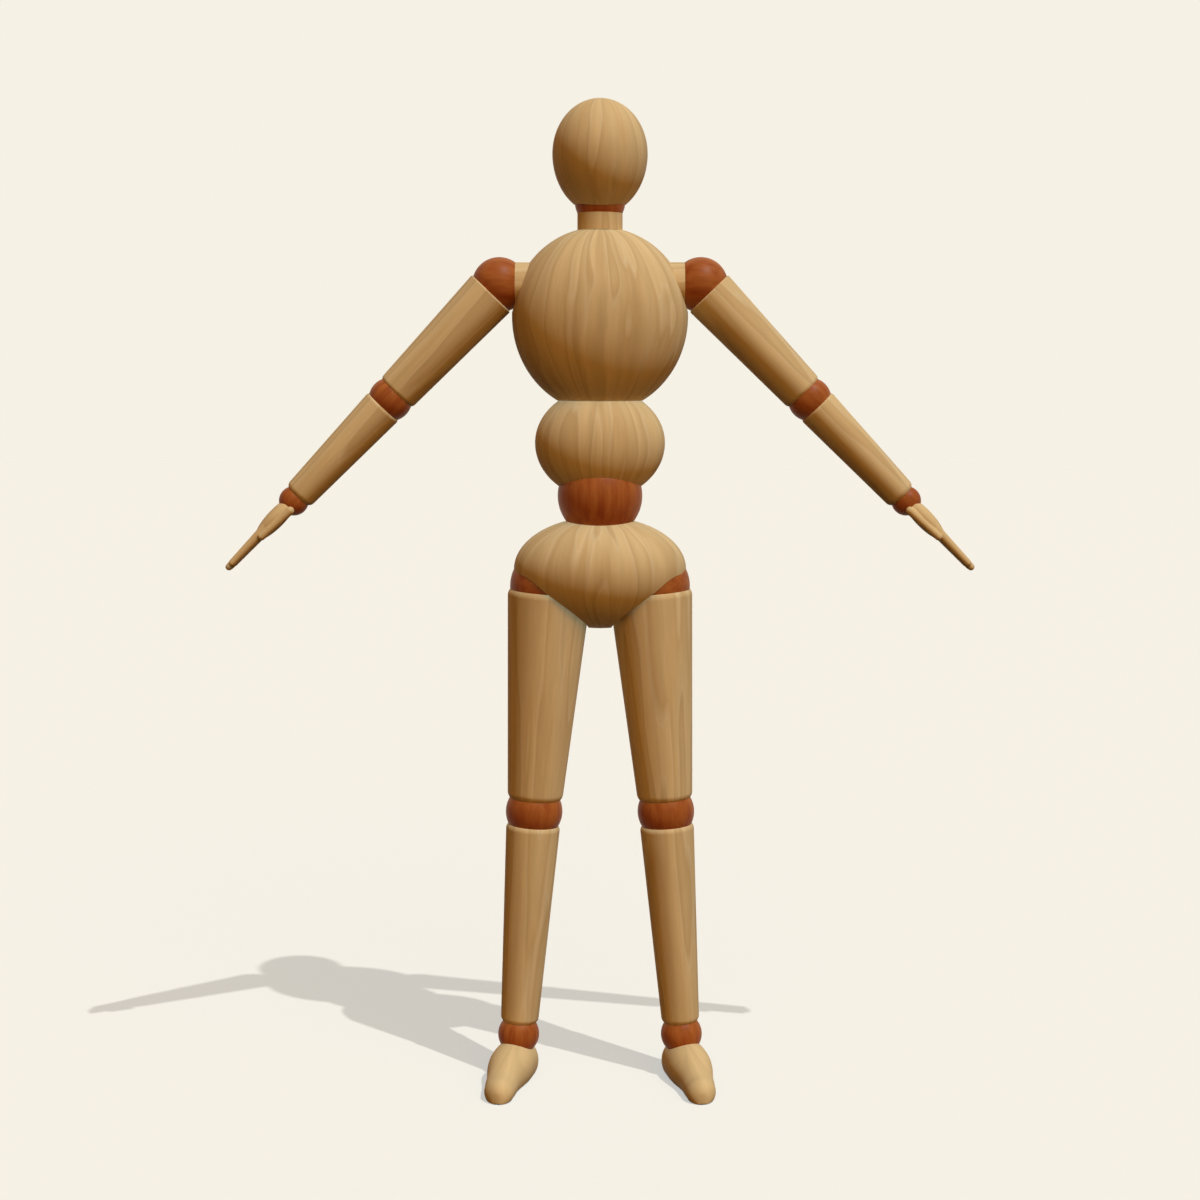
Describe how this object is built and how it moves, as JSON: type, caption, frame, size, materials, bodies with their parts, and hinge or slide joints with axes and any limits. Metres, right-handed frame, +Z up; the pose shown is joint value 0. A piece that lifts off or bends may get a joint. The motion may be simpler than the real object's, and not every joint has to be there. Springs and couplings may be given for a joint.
{
  "type": "wooden artist mannequin",
  "caption": "Jointed wooden figure for drawing practice: turned light-wood limbs and egg-shaped trunk blocks on red-brown ball joints, standing on its own feet.",
  "frame": {"origin": "on the floor under the middle of the figure's box", "axes": "+Z up through the standing figure, it faces -Y, and its left side is +X"},
  "size_m": [0.2286, 0.0492, 0.2999],
  "materials": {
    "beech": "satin",
    "stained_beech": "satin",
    "spring_steel": "satin"
  },
  "bodies": {
    "pelvis": {"pelvis": "beech", "pelvis_hanger": "spring_steel"},
    "waist_ball": {"waist_ball": "stained_beech", "waist_link": "spring_steel"},
    "belly": {"belly": "beech"},
    "chest": {"chest": "beech", "shoulder_rod": "spring_steel", "torso_spring": "spring_steel", "neck_spring": "spring_steel"},
    "neck_post": {"neck_post": "beech"},
    "neck_ball": {"neck_ball": "stained_beech", "neck_link": "spring_steel"},
    "head": {"head": "beech"},
    "left_shoulder_peg": {"left_shoulder_peg": "beech"},
    "left_shoulder_ball": {"left_shoulder_ball": "stained_beech", "left_shoulder_link": "spring_steel"},
    "left_upper_arm": {"left_upper_arm": "beech", "left_upper_arm_spring": "spring_steel"},
    "left_elbow_ball": {"left_elbow_ball": "stained_beech", "left_elbow_link": "spring_steel"},
    "left_forearm": {"left_forearm": "beech", "left_forearm_spring": "spring_steel"},
    "left_wrist_ball": {"left_wrist_ball": "stained_beech", "left_wrist_link": "spring_steel"},
    "left_hand": {"left_hand": "beech"},
    "left_hip_ball": {"left_hip_ball": "stained_beech", "left_hip_link": "spring_steel"},
    "left_thigh": {"left_thigh": "beech", "left_thigh_spring": "spring_steel"},
    "left_knee_ball": {"left_knee_ball": "stained_beech", "left_knee_link": "spring_steel"},
    "left_shin": {"left_shin": "beech", "left_shin_spring": "spring_steel"},
    "left_ankle_ball": {"left_ankle_ball": "stained_beech", "left_ankle_link": "spring_steel"},
    "left_foot": {"left_foot": "beech"},
    "right_shoulder_peg": {"right_shoulder_peg": "beech"},
    "right_shoulder_ball": {"right_shoulder_ball": "stained_beech", "right_shoulder_link": "spring_steel"},
    "right_upper_arm": {"right_upper_arm": "beech", "right_upper_arm_spring": "spring_steel"},
    "right_elbow_ball": {"right_elbow_ball": "stained_beech", "right_elbow_link": "spring_steel"},
    "right_forearm": {"right_forearm": "beech", "right_forearm_spring": "spring_steel"},
    "right_wrist_ball": {"right_wrist_ball": "stained_beech", "right_wrist_link": "spring_steel"},
    "right_hand": {"right_hand": "beech"},
    "right_hip_ball": {"right_hip_ball": "stained_beech", "right_hip_link": "spring_steel"},
    "right_thigh": {"right_thigh": "beech", "right_thigh_spring": "spring_steel"},
    "right_knee_ball": {"right_knee_ball": "stained_beech", "right_knee_link": "spring_steel"},
    "right_shin": {"right_shin": "beech", "right_shin_spring": "spring_steel"},
    "right_ankle_ball": {"right_ankle_ball": "stained_beech", "right_ankle_link": "spring_steel"},
    "right_foot": {"right_foot": "beech"}
  },
  "joints": [
    {"name": "waist_bend", "type": "hinge", "parent": "pelvis", "child": "waist_ball", "pos_m": [0, 0.00437, 0.18114], "axis": [1, 0, 0], "range_deg": [-20, 20]},
    {"name": "waist_lean", "type": "hinge", "parent": "waist_ball", "child": "belly", "pos_m": [0, 0.00437, 0.18114], "axis": [0, 1, 0], "range_deg": [-15, 15]},
    {"name": "chest_turn", "type": "hinge", "parent": "belly", "child": "chest", "pos_m": [0, 0.00437, 0.20984], "axis": [0, 0, 1], "range_deg": [-60, 60]},
    {"name": "head_turn", "type": "hinge", "parent": "chest", "child": "neck_post", "pos_m": [0, 0.00437, 0.26084], "axis": [0, 0, 1], "range_deg": [-80, 80]},
    {"name": "head_nod", "type": "hinge", "parent": "neck_post", "child": "neck_ball", "pos_m": [0, 0.00437, 0.26944], "axis": [1, 0, 0], "range_deg": [-15, 15]},
    {"name": "head_tilt", "type": "hinge", "parent": "neck_ball", "child": "head", "pos_m": [0, 0.00437, 0.26944], "axis": [0, 1, 0], "range_deg": [-12, 12]},
    {"name": "left_arm_swing", "type": "hinge", "parent": "chest", "child": "left_shoulder_peg", "pos_m": [0.03035, 0.00437, 0.24474], "axis": [-1, 0, 0], "range_deg": [-60, 170]},
    {"name": "left_arm_raise", "type": "hinge", "parent": "left_shoulder_peg", "child": "left_shoulder_ball", "pos_m": [0.03035, 0.00437, 0.24474], "axis": [0, -1, 0], "range_deg": [-8, 95]},
    {"name": "left_elbow_bend", "type": "hinge", "parent": "left_upper_arm", "child": "left_elbow_ball", "pos_m": [0.06355, 0.00437, 0.21036], "axis": [-0.7193, 0, -0.6947], "range_deg": [-45, 45]},
    {"name": "left_wrist_bend", "type": "hinge", "parent": "left_forearm", "child": "left_wrist_ball", "pos_m": [0.09329, 0.00437, 0.17957], "axis": [0, 1, 0], "range_deg": [-40, 40]},
    {"name": "left_leg_swing", "type": "hinge", "parent": "pelvis", "child": "left_hip_ball", "pos_m": [0.01535, 0.00437, 0.15354], "axis": [-1, 0, 0], "range_deg": [-20, 20]},
    {"name": "left_leg_spread", "type": "hinge", "parent": "left_hip_ball", "child": "left_thigh", "pos_m": [0.01535, 0.00437, 0.15354], "axis": [0, -1, 0], "range_deg": [-2, 15]},
    {"name": "left_knee_bend", "type": "hinge", "parent": "left_thigh", "child": "left_knee_ball", "pos_m": [0.02036, 0.00437, 0.08362], "axis": [0.9974, 0, 0.0715], "range_deg": [-45, 45]},
    {"name": "left_foot_pitch", "type": "hinge", "parent": "left_shin", "child": "left_ankle_ball", "pos_m": [0.02542, 0.00437, 0.0131], "axis": [-1, 0, 0], "range_deg": [-20, 20]},
    {"name": "left_foot_turn", "type": "hinge", "parent": "left_ankle_ball", "child": "left_foot", "pos_m": [0.02542, 0.00437, 0.0131], "axis": [0, 0, -1], "range_deg": [-30, 30]},
    {"name": "right_arm_swing", "type": "hinge", "parent": "chest", "child": "right_shoulder_peg", "pos_m": [-0.03035, 0.00437, 0.24474], "axis": [-1, 0, 0], "range_deg": [-60, 170]},
    {"name": "right_arm_raise", "type": "hinge", "parent": "right_shoulder_peg", "child": "right_shoulder_ball", "pos_m": [-0.03035, 0.00437, 0.24474], "axis": [0, 1, 0], "range_deg": [-8, 95]},
    {"name": "right_elbow_bend", "type": "hinge", "parent": "right_upper_arm", "child": "right_elbow_ball", "pos_m": [-0.06355, 0.00437, 0.21036], "axis": [-0.7193, 0, 0.6947], "range_deg": [-45, 45]},
    {"name": "right_wrist_bend", "type": "hinge", "parent": "right_forearm", "child": "right_wrist_ball", "pos_m": [-0.09329, 0.00437, 0.17957], "axis": [0, -1, 0], "range_deg": [-40, 40]},
    {"name": "right_leg_swing", "type": "hinge", "parent": "pelvis", "child": "right_hip_ball", "pos_m": [-0.01535, 0.00437, 0.15354], "axis": [-1, 0, 0], "range_deg": [-20, 20]},
    {"name": "right_leg_spread", "type": "hinge", "parent": "right_hip_ball", "child": "right_thigh", "pos_m": [-0.01535, 0.00437, 0.15354], "axis": [0, 1, 0], "range_deg": [-2, 15]},
    {"name": "right_knee_bend", "type": "hinge", "parent": "right_thigh", "child": "right_knee_ball", "pos_m": [-0.02036, 0.00437, 0.08362], "axis": [0.9974, 0, -0.0715], "range_deg": [-45, 45]},
    {"name": "right_foot_pitch", "type": "hinge", "parent": "right_shin", "child": "right_ankle_ball", "pos_m": [-0.02542, 0.00437, 0.0131], "axis": [-1, 0, 0], "range_deg": [-20, 20]},
    {"name": "right_foot_turn", "type": "hinge", "parent": "right_ankle_ball", "child": "right_foot", "pos_m": [-0.02542, 0.00437, 0.0131], "axis": [0, 0, 1], "range_deg": [-30, 30]},
    {"name": "left_arm_twist", "type": "hinge", "parent": "left_shoulder_ball", "child": "left_upper_arm", "pos_m": [0.03035, 0.00437, 0.24474], "axis": [0.6947, 0, -0.7193], "range_deg": [-90, 90]},
    {"name": "left_forearm_twist", "type": "hinge", "parent": "left_elbow_ball", "child": "left_forearm", "pos_m": [0.06355, 0.00437, 0.21036], "axis": [0.6947, 0, -0.7193], "range_deg": [-90, 90]},
    {"name": "left_hand_turn", "type": "hinge", "parent": "left_wrist_ball", "child": "left_hand", "pos_m": [0.09329, 0.00437, 0.17957], "axis": [0.6947, 0, -0.7193], "range_deg": [-90, 90]},
    {"name": "left_shin_twist", "type": "hinge", "parent": "left_knee_ball", "child": "left_shin", "pos_m": [0.02036, 0.00437, 0.08362], "axis": [0.0715, 0, -0.9974], "range_deg": [-90, 90]},
    {"name": "right_arm_twist", "type": "hinge", "parent": "right_shoulder_ball", "child": "right_upper_arm", "pos_m": [-0.03035, 0.00437, 0.24474], "axis": [-0.6947, 0, -0.7193], "range_deg": [-90, 90]},
    {"name": "right_forearm_twist", "type": "hinge", "parent": "right_elbow_ball", "child": "right_forearm", "pos_m": [-0.06355, 0.00437, 0.21036], "axis": [-0.6947, 0, -0.7193], "range_deg": [-90, 90]},
    {"name": "right_hand_turn", "type": "hinge", "parent": "right_wrist_ball", "child": "right_hand", "pos_m": [-0.09329, 0.00437, 0.17957], "axis": [-0.6947, 0, -0.7193], "range_deg": [-90, 90]},
    {"name": "right_shin_twist", "type": "hinge", "parent": "right_knee_ball", "child": "right_shin", "pos_m": [-0.02036, 0.00437, 0.08362], "axis": [-0.0715, 0, -0.9974], "range_deg": [-90, 90]}
  ]
}
